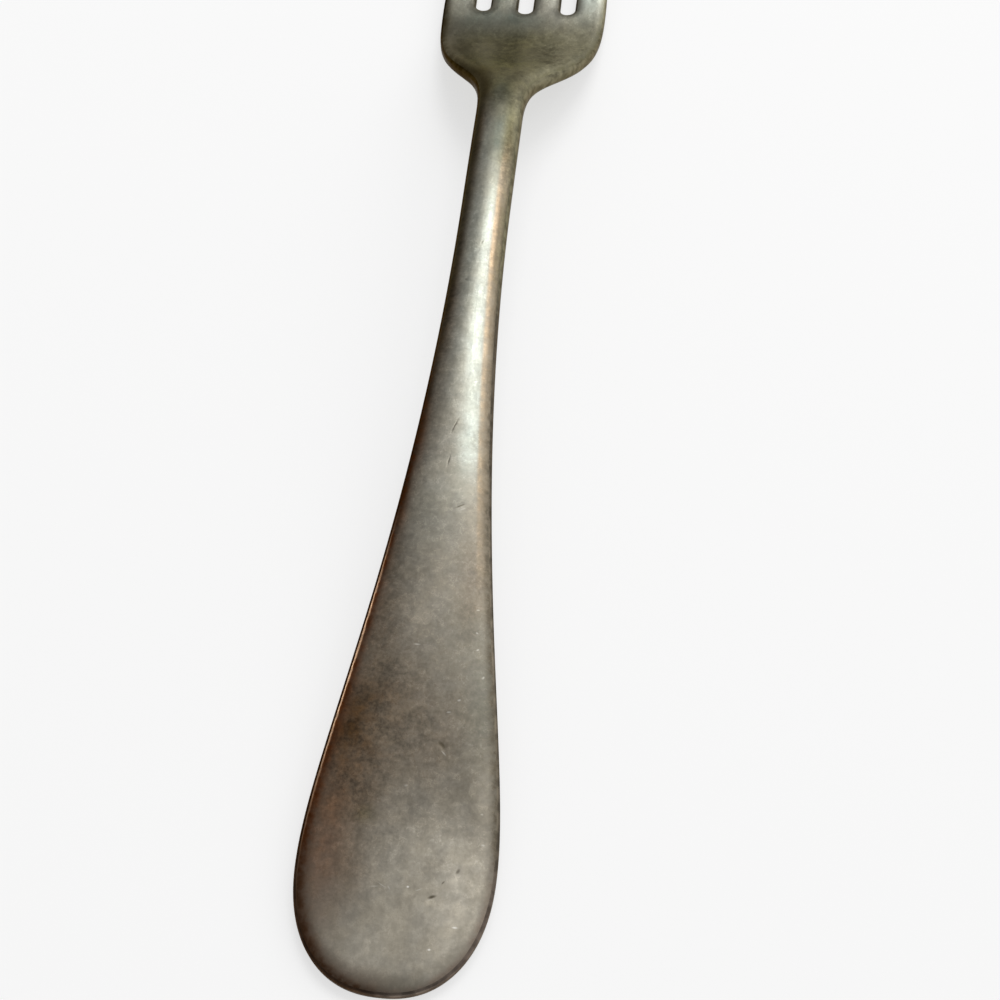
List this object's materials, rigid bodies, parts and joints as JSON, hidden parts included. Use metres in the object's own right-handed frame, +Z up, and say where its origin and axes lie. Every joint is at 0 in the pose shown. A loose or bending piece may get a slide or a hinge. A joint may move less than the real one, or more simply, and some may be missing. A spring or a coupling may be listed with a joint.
{
  "type": "dinner fork",
  "caption": "Silver-plated dinner fork with a broad rounded handle, slim arched stem, dished palm and tapering tines, worn to base metal at the rim, for piercing and lifting food.",
  "frame": {"origin": "on the table, under the middle of the fork's length and width, with the fork lying face up", "axes": "+Y along the fork from the handle end to the tine tips, +X across it, +Z up out of its face"},
  "size_m": [0.0258, 0.2, 0.0142],
  "materials": {
    "base_metal": "worn satin",
    "face_silver": "tarnished satin silver",
    "back_silver": "tarnished satin silver"
  },
  "bodies": {
    "root": {"base_metal_blank": "base_metal", "face_silver_plating": "face_silver", "back_silver_plating": "back_silver"}
  },
  "joints": []
}
